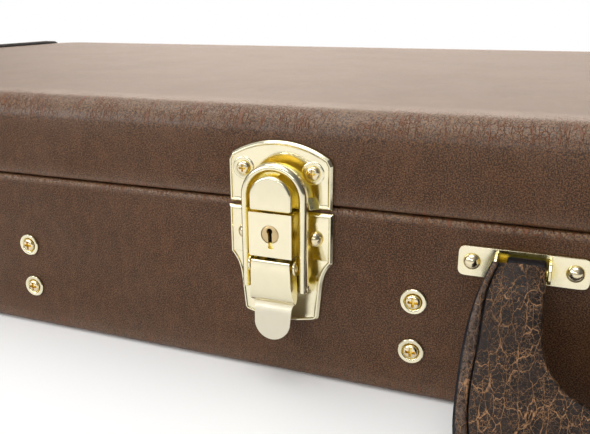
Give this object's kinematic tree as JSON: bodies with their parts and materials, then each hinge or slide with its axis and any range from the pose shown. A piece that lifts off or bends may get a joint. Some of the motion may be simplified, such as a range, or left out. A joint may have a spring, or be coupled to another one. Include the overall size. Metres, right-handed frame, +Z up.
{
  "type": "guitar case",
  "caption": "Rectangular hard-shell guitar case with a hinged lid, draw latches, a keyed lock, a swinging handle, a padded well and a lidded accessory box.",
  "frame": {"origin": "middle of the flat underside of the base, at table height", "axes": "+Z up out of the lid, +X along the case towards its body end, -Y towards the front with the latches and the handle"},
  "size_m": [1.103, 0.4403, 0.1101],
  "materials": {
    "leatherette": "grained, satin, worn at the edges",
    "handle_leather": "crackled, satin",
    "plywood": "raw",
    "plush": "short pile",
    "brass_plate": "polished",
    "lock_bronze": "satin"
  },
  "bodies": {
    "base": {"accessory_box": "plush", "base_covering": "leatherette", "base_lining": "plush", "base_shell": "plywood", "base_tongue": "plywood", "body_padding": "plush", "box_screw_1": "brass_plate", "box_screw_2": "brass_plate", "box_screw_3": "brass_plate", "box_screw_4": "brass_plate", "centre_latch_base_plate": "brass_plate", "cup_washer_1": "brass_plate", "cup_washer_2": "brass_plate", "cup_washer_3": "brass_plate", "cup_washer_4": "brass_plate", "foot_base_left": "brass_plate", "foot_base_right": "brass_plate", "handle_bracket_left": "brass_plate", "handle_bracket_right": "brass_plate", "handle_rivet_1": "brass_plate", "handle_rivet_2": "brass_plate", "handle_rivet_3": "brass_plate", "handle_rivet_4": "brass_plate", "hinge_1_base_leaf": "brass_plate", "hinge_2_base_leaf": "brass_plate", "hinge_3_base_leaf": "brass_plate", "key_latch_base_plate": "brass_plate", "key_latch_lever_pin": "brass_plate", "key_latch_lock_housing": "brass_plate", "key_latch_rivet_left": "brass_plate", "key_latch_rivet_right": "brass_plate", "left_latch_base_plate": "brass_plate", "neck_cradle": "plush", "right_latch_base_plate": "brass_plate"},
    "lid": {"centre_latch_strike": "brass_plate", "foot_lid_left": "brass_plate", "foot_lid_right": "brass_plate", "hinge_1_lid_leaf": "brass_plate", "hinge_2_lid_leaf": "brass_plate", "hinge_3_lid_leaf": "brass_plate", "key_latch_hook": "brass_plate", "key_latch_strike_plate": "brass_plate", "key_latch_strike_screw_left": "brass_plate", "key_latch_strike_screw_right": "brass_plate", "left_latch_strike": "brass_plate", "lid_covering": "leatherette", "lid_lining": "plush", "lid_shell": "plywood", "right_latch_strike": "brass_plate"},
    "handle": {"handle_grip": "handle_leather"},
    "lock_plug": {"key_latch_lock_plug": "lock_bronze"},
    "accessory_cover": {"accessory_lid": "plush"},
    "left_lever": {"left_latch_lever": "brass_plate"},
    "left_bail": {"left_latch_bail": "brass_plate"},
    "key_lever": {"key_latch_lever": "brass_plate"},
    "key_bail": {"key_latch_bail": "brass_plate"},
    "centre_lever": {"centre_latch_lever": "brass_plate"},
    "centre_bail": {"centre_latch_bail": "brass_plate"},
    "right_lever": {"right_latch_lever": "brass_plate"},
    "right_bail": {"right_latch_bail": "brass_plate"}
  },
  "joints": [
    {"name": "lid_hinge", "type": "hinge", "parent": "base", "child": "lid", "pos_m": [0, 0.1911, 0.0732], "axis": [-1, 0, 0], "range_deg": [0, 105]},
    {"name": "handle_swing", "type": "hinge", "parent": "base", "child": "handle", "pos_m": [0, -0.1927, 0.0594], "axis": [-1, 0, 0], "range_deg": [0, 80]},
    {"name": "lock_turn", "type": "hinge", "parent": "base", "child": "lock_plug", "pos_m": [-0.153, -0.1992, 0.0637], "axis": [0, -1, 0], "range_deg": [0, 90]},
    {"name": "accessory_cover_hinge", "type": "hinge", "parent": "base", "child": "accessory_cover", "pos_m": [-0.1893, -0.056, 0.0602], "axis": [-1, 0, 0], "range_deg": [0, 95]},
    {"name": "left_lever_hinge", "type": "hinge", "parent": "base", "child": "left_lever", "pos_m": [-0.4, -0.196, 0.0505], "axis": [-1, 0, 0], "range_deg": [0, 100]},
    {"name": "left_bail_hinge", "type": "hinge", "parent": "left_lever", "child": "left_bail", "pos_m": [-0.4, -0.1937, 0.0422], "axis": [-1, 0, 0], "range_deg": [-84, 0]},
    {"name": "key_lever_hinge", "type": "hinge", "parent": "base", "child": "key_lever", "pos_m": [-0.153, -0.196, 0.0505], "axis": [-1, 0, 0], "range_deg": [0, 100]},
    {"name": "key_bail_hinge", "type": "hinge", "parent": "key_lever", "child": "key_bail", "pos_m": [-0.153, -0.1937, 0.0422], "axis": [-1, 0, 0], "range_deg": [-84, 0]},
    {"name": "centre_lever_hinge", "type": "hinge", "parent": "base", "child": "centre_lever", "pos_m": [0.153, -0.196, 0.0505], "axis": [-1, 0, 0], "range_deg": [0, 100]},
    {"name": "centre_bail_hinge", "type": "hinge", "parent": "centre_lever", "child": "centre_bail", "pos_m": [0.153, -0.1937, 0.0422], "axis": [-1, 0, 0], "range_deg": [-84, 0]},
    {"name": "right_lever_hinge", "type": "hinge", "parent": "base", "child": "right_lever", "pos_m": [0.4, -0.196, 0.0505], "axis": [-1, 0, 0], "range_deg": [0, 100]},
    {"name": "right_bail_hinge", "type": "hinge", "parent": "right_lever", "child": "right_bail", "pos_m": [0.4, -0.1937, 0.0422], "axis": [-1, 0, 0], "range_deg": [-84, 0]}
  ],
  "couplings": [
    {"joint": "accessory_cover_hinge", "follows": "lid_hinge", "ratio": 0.9},
    {"joint": "left_bail_hinge", "follows": "left_lever_hinge", "ratio": -0.83},
    {"joint": "key_bail_hinge", "follows": "key_lever_hinge", "ratio": -0.83},
    {"joint": "centre_bail_hinge", "follows": "centre_lever_hinge", "ratio": -0.83},
    {"joint": "right_bail_hinge", "follows": "right_lever_hinge", "ratio": -0.83}
  ]
}
